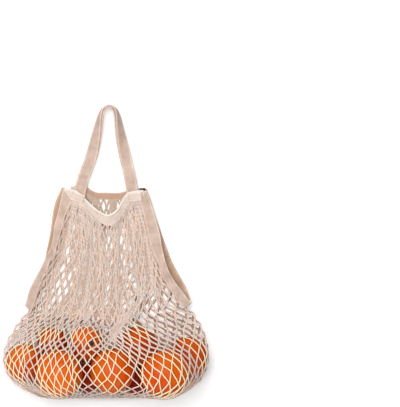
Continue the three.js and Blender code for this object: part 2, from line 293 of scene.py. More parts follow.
orange_faces = ball_faces(ORANGE_ROWS, ORANGE_COLUMNS)
for number, (centre, stem, dark_and_shaded_share) in enumerate(zip(fruit, STEM_ENDS, DARK_TONE_AND_SHADE), 1):
    points = orange_points(centre[3], stem, number) + centre[:3]
    orange = add_object(f"orange_{number:02d}", points, orange_faces, peel)
    dark_and_shaded_points = orange.data.attributes.new("dark_and_shaded", "FLOAT", "POINT")
    dark_and_shaded_points.data.foreach_set("value", np.full(len(points), dark_and_shaded_share))
    orange.data.polygons.foreach_set("use_smooth", np.ones(len(orange_faces), bool))
    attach(orange, "root")
    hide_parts("bag_net")

stem_green, tree, shader = new_material("stem_green", {"Roughness": 0.8})
place = add_node(tree, "TexCoord")
dry = add_node(tree, "TexNoise", {"Scale": 700})
dry_tone = add_ramp(tree, (0.35, CALYX_DARK), (0.7, CALYX_GREEN))
wire(tree,
     (place, "Object", dry, "Vector"),
     (dry, "Fac", dry_tone, "Fac"),
     (dry_tone, "Color", shader, "Base Color"))
stem_turn = turn_from_z(STEM_ENDS[SHOWN_STEM])
stem_place = fruit[SHOWN_STEM, :3] + STEM_POLE * fruit[SHOWN_STEM, 3] * stem_turn[:, 2]
calyx_faces = ball_faces(len(CALYX_REACH), CALYX_COLUMNS)
calyx = add_object("calyx", calyx_points() @ stem_turn.T + stem_place, calyx_faces, stem_green)
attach(calyx, "root")
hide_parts("bag_net")

# Edge tape: woven cotton folded over the cut edges of the net and sewn down along both sides. On each panel
# it runs up one side slit, along the mouth and down the other slit, and is mitred at the two corners.
CLOTH = 2.2 * MM
LAYER_GAP = 0.3 * MM
SLIT_FOOT = -96 * MM
RIM_LEVEL = 60 * MM
FRONT_CLIMB = 4 * MM
SCOOP_LIFT = 4 * MM
SCOOP_SPAN = (8 * MM, 32 * MM)
BACK_SIDE = 1.6 * MM
BACK_CLIMB = 8 * MM
BACK_FLAT = -30 * MM
ROOT_ALONG = (40 * MM, 75 * MM)
ROOT_ACROSS = (18 * MM, 33 * MM)
LAYERS = 6
BACK_COVER, BACK_TAPE, BACK_STRAP, FRONT_STRAP, FRONT_TAPE, FRONT_COVER = (
    LAYER_GAP + CLOTH / 2 + np.arange(LAYERS) * (CLOTH + LAYER_GAP))
TAPE_OUTER = {
    "side_front_left": [
        [-130, -87], [-121, -58], [-103, -24], [-94, -4], [-87, 12], [-82.5, 44], [-76.5, 66], [-69.6, 101]],
    "rim_front": [
        [-69.6, 101], [-58, 98.6], [-47, 95.5], [-36, 85.5], [-25, 74.5], [-12, 64], [4, 57.5], [17, 65],
        [25, 77.5], [35, 92], [66.4, 98]],
    "side_front_right": [
        [66.4, 98], [74, 74], [80, 54], [86.5, 31], [90.5, 7], [97, -20], [104, -37], [115, -54], [138, -83]],
    "side_back_left": [
        [-128, -85], [-113, -43], [-99, -15], [-95, 4], [-90, 29], [-86.5, 56], [-82, 78], [-71, 103]],
    "rim_back": [
        [-71, 103], [-60, 98.5], [-50, 99], [-41, 104], [-34, 106], [-26, 100], [-16, 95], [0, 94.5],
        [20, 94], [36, 98], [65, 101]],
    "side_back_right": [
        [65, 101], [73, 79], [79, 59], [85.5, 40], [94, 15], [106, -16], [116, -36], [127, -55], [136, -78]],
}
TAPE_INNER = {
    "side_front_left": [[-119, -96], [-107, -60], [-94, -26], [-81, 1.6], [-73, 28], [-66, 54], [-55, 79]],
    "rim_front": [
        [-55, 79], [-34, 69.5], [-20, 56], [-7, 45], [6, 41], [19, 48.5], [28, 62], [37, 76], [53.6, 80]],
    "side_front_right": [[53.6, 80], [60, 58], [66, 34], [73, 5], [85, -24], [98, -54], [126, -92]],
    "side_back_left": [[-121, -93], [-105, -44], [-92, -17], [-85.5, 2], [-77, 28], [-71, 55], [-57, 88]],
    "rim_back": [
        [-57, 88], [-50, 88], [-41, 91], [-34, 92.5], [-26, 88.5], [-14, 84], [0, 83], [20, 82.5], [36, 84.5],
        [54, 86]],
    "side_back_right": [[54, 86], [60, 68], [70, 38], [80, 8], [92, -22], [105, -49], [127, -88]],
}
TAPE_SECTIONS = 110
CURVE_STEPS = 600
EDGE_ROUND = 0.09
EDGE_STEPS = 3
EDGE_PUFF = 0.25
FACE_POINTS = 25
FACE_HEIGHT = 0.9
SEAM_INSET = 0.78
SEAM_WIDTH = 0.07
SEAM_DEPTH = 0.35
CREASE_WIDTH = 1.6 * MM
CREASE_DEPTH = 0.5
RIPPLE = 4.5 * MM
RIPPLE_LENGTHS = (6.5 * MM, 3.7 * MM)
RIPPLE_SHARES = (0.6, 0.4)
RIPPLE_END = (20 * MM, 60 * MM)
INNER_SEED = 20
STITCH_PITCH = 3.4 * MM
STITCH_LENGTH = 2.7 * MM
STITCH_RADIUS = 0.38 * MM
STITCH_SECTIONS = 5
STITCH_SIDES = 6
STITCH_SEAT = 0.66
STITCH_BOW = 1.1
STITCH_SINK = 0.5
STITCH_END = 0.55
TAPE_THREADS = 1100
COTTON_PALE = (0.68, 0.52, 0.44)
COTTON_BROWN = (0.50, 0.36, 0.285)
# Paler copy of the tape's cotton for the front rim and the covers: painted light.
RIM_LIT_PALE = (0.78, 0.645, 0.575)
RIM_LIT_BROWN = (0.63, 0.505, 0.43)
# Browner copy of the tape's cotton for the back tapes: painted shade.
SHADED_TAPE_PALE = (0.57, 0.37, 0.26)
SHADED_TAPE_BROWN = (0.48, 0.305, 0.21)
TINY = 1e-9


def smoothstep(x, low, high):
    """0 below low, 1 above high, and between them 3t² − 2t³ of the share t."""
    share = np.clip((x - low) / (high - low), 0, 1)
    return share * share * (3 - 2 * share)


def unit(vectors):
    """Vectors over their lengths."""
    return vectors / np.maximum(np.linalg.norm(vectors, axis=-1, keepdims=True), TINY)


def travelled(points, axis=0):
    """Length along lines of points that run along an axis of the array, from 0 at the first."""
    steps = np.diff(points, axis=axis, prepend=np.take(points, [0], axis))
    return np.cumsum(np.linalg.norm(steps, axis=-1), axis)


def at_lengths(want, length, points):
    """Points on a line at these lengths, between its points in proportion."""
    return np.stack([np.interp(want, length, axis) for axis in points.T], -1)


def curve_through(points, shares):
    """Smooth curve through points, at shares of its length: Hermite arcs, knots by the root of the chord."""
    points = np.asarray(points, float)
    chord = np.linalg.norm(np.diff(points, axis=0), axis=1)
    knots = np.concatenate([[0], np.cumsum(np.sqrt(chord))])
    slope = np.gradient(points, knots, axis=0)
    fine = np.linspace(0, knots[-1], CURVE_STEPS)
    arc = np.clip(np.searchsorted(knots, fine, side="right") - 1, 0, len(points) - 2)
    width = (knots[arc + 1] - knots[arc])[:, None]
    t = (fine - knots[arc])[:, None] / width
    line = (2 * t**3 - 3 * t**2 + 1) * points[arc] + (t**3 - 2 * t**2 + t) * width * slope[arc]
    line = line + (3 * t**2 - 2 * t**3) * points[arc + 1] + (t**3 - t**2) * width * slope[arc + 1]
    length = travelled(line)
    return at_lengths(np.asarray(shares) * length[-1], length, line)


def front_height(x, y):
    """Height of the front tape: on the stack of cloth at the rim, climbing to the slit's foot."""
    return FRONT_TAPE + FRONT_CLIMB * (1 - smoothstep(y, SLIT_FOOT, RIM_LEVEL))


def scoop_height(x, y):
    """Height of the front rim's free edge, which stands up in the middle of the scoop."""
    return front_height(x, y) + SCOOP_LIFT * (1 - smoothstep(np.abs(x), *SCOOP_SPAN))


def back_height(x, y):
    """Height of the back tape: on the floor, lifted by the covers at the roots, rising at the slit's foot."""
    at_root = smoothstep(y, *ROOT_ALONG) * smoothstep(np.abs(x), *ROOT_ACROSS)
    at_foot = 1 - smoothstep(y, SLIT_FOOT, BACK_FLAT)
    return BACK_SIDE + (BACK_TAPE - BACK_SIDE) * at_root + BACK_CLIMB * at_foot


def ripples(line, seed):
    """Soft waves along an edge of the tape: two sines of the length, lifted off the cloth below and gone
    where the straps are sewn on."""
    phases = np.random.default_rng(seed).uniform(0, 2 * np.pi, len(RIPPLE_LENGTHS))
    wave = sum(share * np.sin(travelled(line) / length + phase)
               for share, length, phase in zip(RIPPLE_SHARES, RIPPLE_LENGTHS, phases))
    return RIPPLE * (1 + wave) / 2 * (1 - smoothstep(line[:, 1], *RIPPLE_END))


def strip_frame(left, right):
    """Middle line of a strip of cloth, half its way to the right edge, upward normal and travelled length."""
    middle = (left + right) / 2
    half = (right - left) / 2
    along = unit(np.gradient(middle, axis=0))
    up = unit(np.cross(half, along))
    return middle, half, up, travelled(middle)


def cloth_section():
    """Cross-section of folded cloth, over its upper face to the right, round the fold and back below. The
    faces are thinner along the seam near each edge and puffed between seam and fold."""
    across = np.linspace(EDGE_ROUND - 1, 1 - EDGE_ROUND, FACE_POINTS)
    seam = np.exp(-(((np.abs(across) - SEAM_INSET) / SEAM_WIDTH) ** 2))
    puff = smoothstep(np.abs(across), SEAM_INSET, 1 - EDGE_ROUND)
    face = FACE_HEIGHT - SEAM_DEPTH * seam + EDGE_PUFF * puff
    round_edge = np.pi * np.arange(1, EDGE_STEPS + 1) / (EDGE_STEPS + 1)
    end = 1 - EDGE_ROUND + EDGE_ROUND * np.sin(round_edge)
    end_height = FACE_HEIGHT * np.cos(round_edge)
    side = np.concatenate([across, end, across[::-1], -end])
    height = np.concatenate([face, end_height, -face[::-1], -end_height])
    return side, height


def skin(name, rings, along, around, material):
    """Closed tubes over rings[tube, section, corner]: quads between sections and a face at each end. The UV
    map holds the length along the tube and the place round it, whose last value closes the round."""
    tubes, sections, corners = rings.shape[:3]
    index = np.arange(tubes * sections * corners).reshape(tubes, sections, corners)
    beside = np.roll(index, -1, axis=2)
    quads = np.stack([index[:, :-1], beside[:, :-1], beside[:, 1:], index[:, 1:]], -1).reshape(-1, 4)
    ends = np.concatenate([index[:, 0, ::-1], index[:, -1]])
    piece = add_object(name, rings.reshape(-1, 3), quads.tolist() + ends.tolist(), material)
    u = np.broadcast_to(along[:, :, None], (tubes, sections, corners))
    v = np.broadcast_to(around, (tubes, sections, corners + 1))
    quad_u = np.stack([u[:, :-1], u[:, :-1], u[:, 1:], u[:, 1:]], -1)
    quad_v = np.stack([v[:, :-1, :-1], v[:, :-1, 1:], v[:, 1:, 1:], v[:, 1:, :-1]], -1)
    end_u = np.concatenate([u[:, 0, ::-1], u[:, -1]])
    end_v = np.concatenate([v[:, 0, -2::-1], v[:, -1, :-1]])
    quad_uv = np.stack([quad_u, quad_v], -1).reshape(-1, 2)
    end_uv = np.stack([end_u, end_v], -1).reshape(-1, 2)
    thread_map = piece.data.uv_layers.new(name="thread")
    thread_map.data.foreach_set("uv", np.concatenate([quad_uv, end_uv]).ravel())
    piece.data.polygons.foreach_set("use_smooth", np.arange(len(quads) + len(ends)) < len(quads))
    return piece


def cloth_strip(name, left, right, material, creases=()):
    """Strip of folded cloth between two edge lines: the section carried along them, square to the strip,
    thinner by a bell curve of the length at each crease. A point's "edge" is its share of the way out."""
    middle, half, up, length = strip_frame(left, right)
    side, height = cloth_section()
    dents = np.exp(-(((length - np.array(creases)[:, None]) / CREASE_WIDTH) ** 2)).sum(0)
    thick = CLOTH / 2 * (1 - CREASE_DEPTH * dents)[:, None, None]
    rings = middle[:, None] + side[:, None] * half[:, None] + height[:, None] * up[:, None] * thick
    across = np.append(side, side[0]) * np.linalg.norm(half, axis=1).mean()
    piece = skin(name, rings[None], length[None], across, material)
    edge = np.broadcast_to(np.abs(side), rings.shape[:2])
    piece.data.attributes.new("edge", "FLOAT", "POINT").data.foreach_set("value", edge.ravel())
    return piece


def tube_rings(path, beside, radius, corners):
    """Round sections along paths[tube, step], square to their run. Each ring starts on the side that is the
    cross product of the given sideways direction and the run."""
    travel = unit(np.gradient(path, axis=1))
    outer = unit(np.cross(beside, travel))
    side = np.cross(travel, outer)
    turn = np.linspace(0, 2 * np.pi, corners, endpoint=False)[:, None]
    spokes = np.cos(turn) * outer[:, :, None] + np.sin(turn) * side[:, :, None]
    return path[:, :, None] + np.broadcast_to(radius, path.shape[:2])[..., None, None] * spokes


seam_rings = []


def sew(left, right, seam=SEAM_INSET):
    """Stitches on a strip: short threads that rise out of the cloth and dive back into it, evenly spaced
    along a seam at each edge, that share of the way out, on the upper and the lower face."""
    middle, half, up, length = strip_frame(left, right)
    starts = np.arange(STITCH_PITCH, length[-1] - STITCH_PITCH, STITCH_PITCH)
    steps = np.linspace(0, 1, STITCH_SECTIONS)
    at = starts[:, None] + steps * STITCH_LENGTH
    bow = np.sin(np.pi * steps)
    lift = STITCH_SEAT * CLOTH / 2 + STITCH_RADIUS * (STITCH_BOW * bow - STITCH_SINK)
    radius = STITCH_RADIUS * (STITCH_END + (1 - STITCH_END) * bow)
    beside = at_lengths(at, length, half)
    rise = lift[None, :, None] * at_lengths(at, length, up)
    for line in (-seam, seam):
        for face in (1, -1):
            path = at_lengths(at, length, middle + line * half) + face * rise
            seam_rings.append(tube_rings(path, beside, radius, STITCH_SIDES))


def shader_group(name, sockets):
    """Shader node group with these sockets, and its input and output node."""
    group = bpy.data.node_groups.new(name, "ShaderNodeTree")
    for socket, kind, way in sockets:
        group.interface.new_socket(socket, in_out=way, socket_type=f"NodeSocket{kind}")
    return group, group.nodes.new("NodeGroupInput"), group.nodes.new("NodeGroupOutput")


# Cotton's own tone, shared by tape, straps and net: unbleached cream with paler and browner slubs.
cotton_tone, tone_in, tone_out = shader_group("cotton_tone", (
    ("Vector", "Vector", "INPUT"), ("Pale", "Color", "INPUT"), ("Brown", "Color", "INPUT"),
    ("Color", "Color", "OUTPUT")))
slubs = add_node(cotton_tone, "TexNoise", {"Scale": 60, "Detail": 4, "Roughness": 0.65})
slub_range = add_node(cotton_tone, "MapRange", {"From Min": 0.32, "From Max": 0.68})
slub_mix = add_node(cotton_tone, "Mix", data_type="RGBA")
wire(cotton_tone,
     (tone_in, "Vector", slubs, "Vector"),
     (slubs, "Fac", slub_range, "Value"),
     (slub_range, "Result", slub_mix, "Factor"),
     (tone_in, "Pale", slub_mix, MIX_A),
     (tone_in, "Brown", slub_mix, MIX_B),
     (slub_mix, MIX_RESULT, tone_out, "Color"))

# Plain weave on the UV map, as a height: ribs along the cloth, with warp and weft over each other in turn.
CROSSING_HEIGHT = 0.35
RIB_HEIGHT = 0.5
WEAVE_BASE = 0.2
plain_weave, weave_in, weave_out = shader_group("plain_weave", (
    ("UV", "Vector", "INPUT"), ("Threads", "Float", "INPUT"), ("Height", "Float", "OUTPUT")))


def weave_math(operation, *values):
    """Output of a Math node in the weave, with each value a number or another node's output."""
    node = add_node(plain_weave, "Math", operation=operation)
    for socket, value in zip(node.inputs, values):
        if isinstance(value, float):
            socket.default_value = value
        else:
            plain_weave.links.new(value, socket)
    return node.outputs[0]


weave_axes = add_node(plain_weave, "SeparateXYZ")
wire(plain_weave, (weave_in, "UV", weave_axes, 0))
thread_turn = weave_math("MULTIPLY", weave_in.outputs["Threads"], np.pi)
warp = weave_math("SINE", weave_math("MULTIPLY", weave_axes.outputs["X"], thread_turn))
weft = weave_math("SINE", weave_math("MULTIPLY", weave_axes.outputs["Y"], thread_turn))
crossings = weave_math("MULTIPLY", weave_math("MULTIPLY", warp, weft), CROSSING_HEIGHT)
ribs = weave_math("MULTIPLY", weave_math("ABSOLUTE", weft), RIB_HEIGHT)
weave_height = weave_math("ADD", weave_math("ADD", crossings, ribs), WEAVE_BASE)
plain_weave.links.new(weave_height, weave_out.inputs["Height"])


def soft_cotton(name, values, bump_values):
    """Matt, slightly fuzzy cotton in the shared tone, with the nodes that its threads are yet to be wired to:
    the thread map, the tone, the shade that multiplies it and the bump."""
    material, tree, shader = new_material(name, {
        "Sheen Weight": 0.25, "Sheen Roughness": 0.5, "Specular IOR Level": 0.2, **values})
    place = add_node(tree, "TexCoord")
    thread_map = add_node(tree, "UVMap", uv_map="thread")
    tone = add_node(tree, "Group", node_tree=cotton_tone)
    shade = add_node(tree, "Mix", {"Factor": 1}, data_type="RGBA", blend_type="MULTIPLY")
    bump = add_node(tree, "Bump", bump_values)
    wire(tree,
         (place, "Object", tone, "Vector"),
         (tone, "Color", shade, MIX_A),
         (shade, MIX_RESULT, shader, "Base Color"),
         (bump, "Normal", shader, "Normal"))
    return material, tree, thread_map, tone, shade, bump


def cotton_cloth(name, pale, brown, threads):
    """Woven cotton with that many threads to a metre: a painted highlight along the folded edges and painted
    shade between the threads of the shared weave, which also makes the bump."""
    material, tree, thread_map, tone, shade, bump = soft_cotton(
        name, {"Roughness": 0.88}, {"Strength": 0.5, "Distance": 0.0003})
    set_inputs(tone, {"Pale": (*pale, 1), "Brown": (*brown, 1)})
    weave = add_node(tree, "Group", {"Threads": threads}, node_tree=plain_weave)
    thread_shade = add_node(tree, "MapRange", {"To Min": 0.8, "To Max": 1.04})
    edge = add_node(tree, "Attribute", attribute_name="edge")
    edge_highlight = add_node(
        tree, "MapRange", {"From Min": 0.66, "From Max": 0.84, "To Min": 0.94, "To Max": 1.2},
        interpolation_type="SMOOTHSTEP")
    lightness = add_node(tree, "Math", operation="MULTIPLY")
    wire(tree,
         (thread_map, "UV", weave, "UV"),
         (weave, "Height", thread_shade, "Value"),
         (weave, "Height", bump, "Height"),
         (edge, "Fac", edge_highlight, "Value"),
         (thread_shade, "Result", lightness, 0),
         (edge_highlight, "Result", lightness, 1),
         (lightness, 0, shade, MIX_B))
    return material


tape_cotton = cotton_cloth("tape_cotton", COTTON_PALE, COTTON_BROWN, TAPE_THREADS)
rim_cotton_lit = cotton_cloth("rim_cotton_lit", RIM_LIT_PALE, RIM_LIT_BROWN, TAPE_THREADS)
tape_cotton_shaded = cotton_cloth("tape_cotton_shaded", SHADED_TAPE_PALE, SHADED_TAPE_BROWN, TAPE_THREADS)

tape_edges = {}
tape_shares = np.linspace(0, 1, TAPE_SECTIONS)
for number, (node, outer) in enumerate(TAPE_OUTER.items()):
    outer_line = curve_through(np.array(outer) * MM, tape_shares)
    inner_line = curve_through(np.array(TAPE_INNER[node]) * MM, tape_shares)
    inner_height = back_height if "back" in node else front_height
    outer_height = scoop_height if node == "rim_front" else inner_height
    outer_waves = ripples(outer_line, number)
    inner_waves = ripples(inner_line, number + INNER_SEED)
    left = np.column_stack([outer_line, outer_height(*outer_line.T) + outer_waves])
    right = np.column_stack([inner_line, inner_height(*inner_line.T) + inner_waves])
    tape_edges[node] = (left, right)
    # The front rim takes the paler copy of the cotton, painted light. The back tapes take the browner copy,
    # painted shade.
    outside = rim_cotton_lit if node == "rim_front" else tape_cotton
    tape = cloth_strip(f"tape_{node}", left, right, tape_cotton_shaded if "back" in node else outside)
    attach(tape, "root")
    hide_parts(node)
    sew(left, right)

# Rolled hem: the fold of the front rim's tape, a soft roll along the free edge of the scoop, pale with a
# painted highlight. It starts and ends a little way in from the corners of the mouth.
HEM_RADIUS = 1.8 * MM
HEM_SIDES = 10
HEM_ENDS = 4
HEM_LIFT = 0.3 * CLOTH
HEM_THREADS = 900
HEM_HIGHLIGHT_PALE = (0.93, 0.86, 0.79)
HEM_HIGHLIGHT_BROWN = (0.88, 0.79, 0.71)
hem_line = tape_edges["rim_front"][0][None, HEM_ENDS:-HEM_ENDS] + np.array([0, 0, HEM_LIFT])
hem_rings = tube_rings(hem_line, np.broadcast_to([0.0, 0.0, 1.0], hem_line.shape), HEM_RADIUS, HEM_SIDES)
hem_round = np.linspace(0, 2 * np.pi * HEM_RADIUS, HEM_SIDES + 1)
hem_cotton_highlight = cotton_cloth("hem_cotton_highlight", HEM_HIGHLIGHT_PALE, HEM_HIGHLIGHT_BROWN, HEM_THREADS)
hem = skin("rolled_hem", hem_rings, travelled(hem_line[0])[None], hem_round, hem_cotton_highlight)
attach(hem, "root")
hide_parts("rim_front")

# Handles: two flat cotton straps, the back one close under the front one. They lie flat where they are sewn
# to the rims, with two seams across each end, and turn on edge towards the top of the loop.
STRAP_WIDTH = 19 * MM
HANDLE_TOP = 234.6 * MM
TWIST_START = 140 * MM
TWIST_POWER = 1.1
HANDLE_SPACING = 3.2 * MM
PARTING = (110 * MM, 160 * MM)
HANDLE_LINE = np.array([
    [-44.5, 84], [-37.6, 113], [-24.2, 151], [-15.5, 190], [-10, 218], [-6, 228.5], [4.6, 234.6],
    [15.2, 228.5], [19.4, 218], [24, 190], [31.4, 151], [39.6, 113], [44, 84]]) * MM
HANDLE_SECTIONS = 400
ROOT_SEAMS = np.array([24, 34]) * MM
STRAP_THREADS = 950
strap_cotton = cotton_cloth("strap_cotton", COTTON_PALE, COTTON_BROWN, STRAP_THREADS)


def handle_edges(is_back):
    """Edges of a handle's strap. Its cross direction turns from level to upright with a power of the climb,
    its height keeps it on the floor, and the back one lies off the front one along the strap's normal."""
    middle = curve_through(HANDLE_LINE, np.linspace(0, 1, HANDLE_SECTIONS))
    along = unit(np.gradient(middle, axis=0))
    climb = np.clip((middle[:, 1] - TWIST_START) / (HANDLE_TOP - TWIST_START), 0, 1)
    turn = np.pi / 2 * climb**TWIST_POWER
    cos, sin = np.cos(turn), np.sin(turn)
    across = np.column_stack([along[:, 1] * cos, -along[:, 0] * cos, sin])
    up = np.cross(across, np.column_stack([along, np.zeros(len(along))]))
    on_floor = STRAP_WIDTH / 2 * sin + CLOTH / 2 * cos + LAYER_GAP
    height = np.maximum(FRONT_STRAP, on_floor + HANDLE_SPACING * cos)
    middle = np.column_stack([middle, height])
    if is_back:
        parted = smoothstep(middle[:, 1], *PARTING)
        drop = (FRONT_STRAP - BACK_STRAP) * (1 - parted) + HANDLE_SPACING * parted
        middle = middle - up * drop[:, None]
    return middle - across * STRAP_WIDTH / 2, middle + across * STRAP_WIDTH / 2


for node, is_back in (("handle_front", False), ("handle_back", True)):
    left, right = handle_edges(is_back)
    total = strip_frame(left, right)[3][-1]
    strap = cloth_strip(f"strap_{node}", left, right, strap_cotton, [*ROOT_SEAMS, *(total - ROOT_SEAMS)])
    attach(strap, "root")
    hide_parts(node)
    sew(left, right)

# Covers: a short doubled piece of the tape sewn over each end of the straps, on the outside of the rim. Each
# is given by its middle in millimetres, its slope in degrees and its layer in the stack of cloth.
COVER_LENGTH = 21 * MM
COVER_WIDTH = 14 * MM
COVER_SEAM = 0.7
COVERS = {
    "cover_front_left": (-45, 86.5, -21, FRONT_COVER),
    "cover_front_right": (47, 87.5, 6, FRONT_COVER),
    "cover_back_left": (-46, 98.8, 5, BACK_COVER),
    "cover_back_right": (47, 94, 3, BACK_COVER),
}
PATCH_SECTIONS = 16


def patch_edges(x, y, slope, height, length, width):
    """Edges of a flat rectangle of cloth about a middle point, turned by a slope in degrees."""
    turn = np.radians(slope)
    along = np.array([np.cos(turn), np.sin(turn), 0])
    across = np.array([-np.sin(turn), np.cos(turn), 0])
    line = np.array([x, y, height]) + np.linspace(-0.5, 0.5, PATCH_SECTIONS)[:, None] * length * along
    return line + across * width / 2, line - across * width / 2


# The covers take the front rim's paler copy of the cotton, with painted light.
for node, (x, y, slope, layer) in COVERS.items():
    left, right = patch_edges(x * MM, y * MM, slope, layer, COVER_LENGTH, COVER_WIDTH)
    cover = cloth_strip(f"patch_{node}", left, right, rim_cotton_lit)
    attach(cover, "root")
    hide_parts(node)
    sew(left, right, COVER_SEAM)

# Seam thread: the stitches of the tape, the straps and the covers, in cotton a little paler than the cloth.
# They are one piece, made of the short threads that each of those was sewn with.
SEAM_TONE = (0.72, 0.58, 0.49, 1)
seam_thread = new_material("seam_thread", {"Roughness": 0.8, "Base Color": SEAM_TONE})[0]
stitch_rings = np.concatenate(seam_rings)
stitch_along = np.broadcast_to(np.linspace(0, STITCH_LENGTH, STITCH_SECTIONS), stitch_rings.shape[:2])
stitches = skin("seam_stitches", stitch_rings, stitch_along, np.linspace(0, 1, STITCH_SIDES + 1), seam_thread)
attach(stitches, "root")

# Label: a small plain dark ribbon of woven cotton, caught in the rim's seam beside the right-hand corner. It
# stands out of the seam in the layer of the front strap.
LABEL = {"x": 58.6 * MM, "y": 97.6 * MM, "slope": 3, "length": 8.8 * MM, "width": 8 * MM}
LABEL_THREADS = 1800
LABEL_DARK = (0.022, 0.022, 0.026)
LABEL_DARKER = (0.014, 0.014, 0.017)
label_ribbon = cotton_cloth("label_ribbon", LABEL_DARK, LABEL_DARKER, LABEL_THREADS)
left, right = patch_edges(height=FRONT_STRAP, **LABEL)
label = cloth_strip("label", left, right, label_ribbon)
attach(label, "root")
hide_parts("rim_label")

# Net: soft cotton cords knitted into long diamond cells, one cloth folded at the foot of the bag. Each cord
# runs down the bag in a zigzag and is knitted to its left and right neighbour in turn. The net hangs from the
# tapes, gathered, is drawn open over the fruit, and lies on the table behind.
COLUMNS = 28
ROWS = 33
SLIT_ROW = 14
FINE = 4
SEWN_IN = 0.14
FOOT = np.array([
    [-104, -232.5, 46], [-78, -235.7, 46], [-48, -234.5, 40], [2, -234, 38], [49, -234.5, 40], [88, -235, 46],
    [112, -230.3, 44]]) * MM
LEFT_POUCH = np.array([
    [-135, -107, 17], [-148, -125, 24], [-160, -148, 28], [-164.3, -172, 30], [-160.5, -190, 31],
    [-150, -207, 34], [-129, -222, 40], [-104, -232.5, 46]]) * MM
RIGHT_POUCH = np.array([
    [141, -100, 17], [151, -115, 24], [161, -141, 31], [164.3, -162, 35], [161.5, -188, 36], [150, -208, 38],
    [127, -225, 42], [112, -230.3, 44]]) * MM

# How the columns of cells are gathered: for a few columns, their place across the panel in per cent, at rows
# from the rim to the foot. Open columns stand beside dense ones at the top, a bunch is drawn together above
# the fruit on the right, and below it the columns fan out and turn round the sides.
GATHERED_COLUMNS = [0, 1, 3, 6.5, 7.5, 13, 15, 17.5, 20.5, 23, 24.5, 26.5, 28]
GATHERED_ROWS = [0, 4.4, 9.2, 11.6, 14, 16.2, 22.7, 27.9, 33]
GATHER = np.array([
    [0, 2.5, 8.0, 18.0, 21.5, 41.5, 57.0, 65.0, 81.0, 90.0, 93.5, 97.0, 100],
    [0, 3.0, 10.0, 25.0, 28.2, 46.2, 55.0, 65.0, 81.0, 90.0, 95.5, 98.0, 100],
    [0, 3.0, 9.5, 26.5, 29.6, 46.2, 53.0, 60.5, 75.5, 84.0, 89.5, 95.0, 100],
    [0, 3.0, 10.0, 26.5, 29.2, 43.2, 51.6, 58.3, 71.5, 80.0, 86.5, 94.0, 100],
    [0, 3.5, 10.3, 21.3, 24.0, 40.0, 49.2, 53.6, 63.6, 71.5, 79.0, 91.0, 100],
    [0, 4.0, 10.8, 20.6, 22.8, 38.9, 46.3, 52.0, 60.5, 70.5, 78.5, 91.0, 100],
    [0, 1.5, 7.4, 18.8, 22.5, 41.0, 51.2, 61.9, 73.1, 83.5, 89.0, 98.0, 100],
    [0, 1.6, 6.1, 15.3, 18.8, 39.9, 50.5, 66.8, 81.0, 91.0, 94.3, 98.4, 100],
    [0, 2.4, 6.5, 14.4, 17.5, 37.5, 49.8, 66.6, 80.5, 88.0, 92.0, 97.4, 100]]) / 100
HELD_EDGE = 2
SWAY = {"reach": 0.17, "per_column": 2.7}
SWAY_SWING = {"reach": 3, "per_row": 5}
DRIFT = {"reach": 0.22, "per_column": 1.7, "per_row": -4}
WANDER_ROWS = [0, 3, 12, 18]
WANDER_SHARES = [0.3, 1, 1, 0.55]
BACK_PHASE = 0.6

column_fine = np.linspace(0, COLUMNS, FINE * COLUMNS + 1)
level_fine = np.linspace(0, 1, FINE * ROWS + 1)
by_row = np.stack([np.interp(column_fine, GATHERED_COLUMNS, places) for places in GATHER])
gathered = np.stack([np.interp(ROWS * level_fine, GATHERED_ROWS, places) for places in by_row.T], 1)


def net_wave(column, row, reach=1, per_column=0, per_row=0, start=0):
    """Sine of the column and the row or level, which turns by so much with each."""
    return reach * np.sin(per_column * column + per_row * row + start)


def bunched(phase):
    """Shares across by level and column, where the columns wander sideways by two sines of their number that
    drift with the level, so that some close to thick strands and others open. Less so at the rim and over the
    fruit, and not at the edges."""
    level = level_fine[:, None]
    inside = np.clip(np.minimum(column_fine, COLUMNS - column_fine) / HELD_EDGE, 0, 1)
    swing = phase + net_wave(0, level, **SWAY_SWING)
    wander = net_wave(column_fine, level, start=swing, **SWAY) + net_wave(column_fine, level, **DRIFT)
    wander = wander * inside * np.interp(ROWS * level, WANDER_ROWS, WANDER_SHARES)
    return np.stack([
        np.interp(column_fine + shift, column_fine, places) for shift, places in zip(wander, gathered)])


def panel_edge(tape, pouch, downwards):
    """One side of a panel by level: down a tape to the foot of the slit, then round the fruit to the foot."""
    line = tape if downwards else tape[::-1]
    on_tape = curve_through(line, np.linspace(0, 1, FINE * SLIT_ROW + 1))
    on_pouch = curve_through(np.vstack([line[-1], pouch]), np.linspace(0, 1, FINE * (ROWS - SLIT_ROW) + 1))
    return np.concatenate([on_tape, on_pouch[1:]])


def panel(names, share):
    """Points of a panel by level and column: each is blended from the four edges by its level and its share
    of the way across, less the blend of the corners that was counted twice."""
    left_tape, rim, right_tape = [
        inner + SEWN_IN * (outer - inner) for outer, inner in (tape_edges[name] for name in names)]
    left = panel_edge(left_tape, LEFT_POUCH, False)[:, None]
    right = panel_edge(right_tape, RIGHT_POUCH, True)[:, None]
    u, v = share[..., None], level_fine[:, None, None]
    top = curve_through(rim, share) - (1 - u) * rim[0] - u * rim[-1]
    low = curve_through(FOOT, share) - (1 - u) * FOOT[0] - u * FOOT[-1]
    return (1 - v) * top + v * low + (1 - u) * left + u * right


# The front panel as a film over the fruit, and the back panel on the floor, rolled up to the same outline.
NET_SAG = 0.07 * MM
NET_LOWEST = 3.2 * CORD_RADIUS
FILM_STEPS = 600
FILM_OVERSHOOT = 1.8
EVEN_COLUMN = 20
EVEN_ROWS = [15, 19, 30, 33]
EVEN_SHARES = [0, 0.8, 0.8, 0.3]


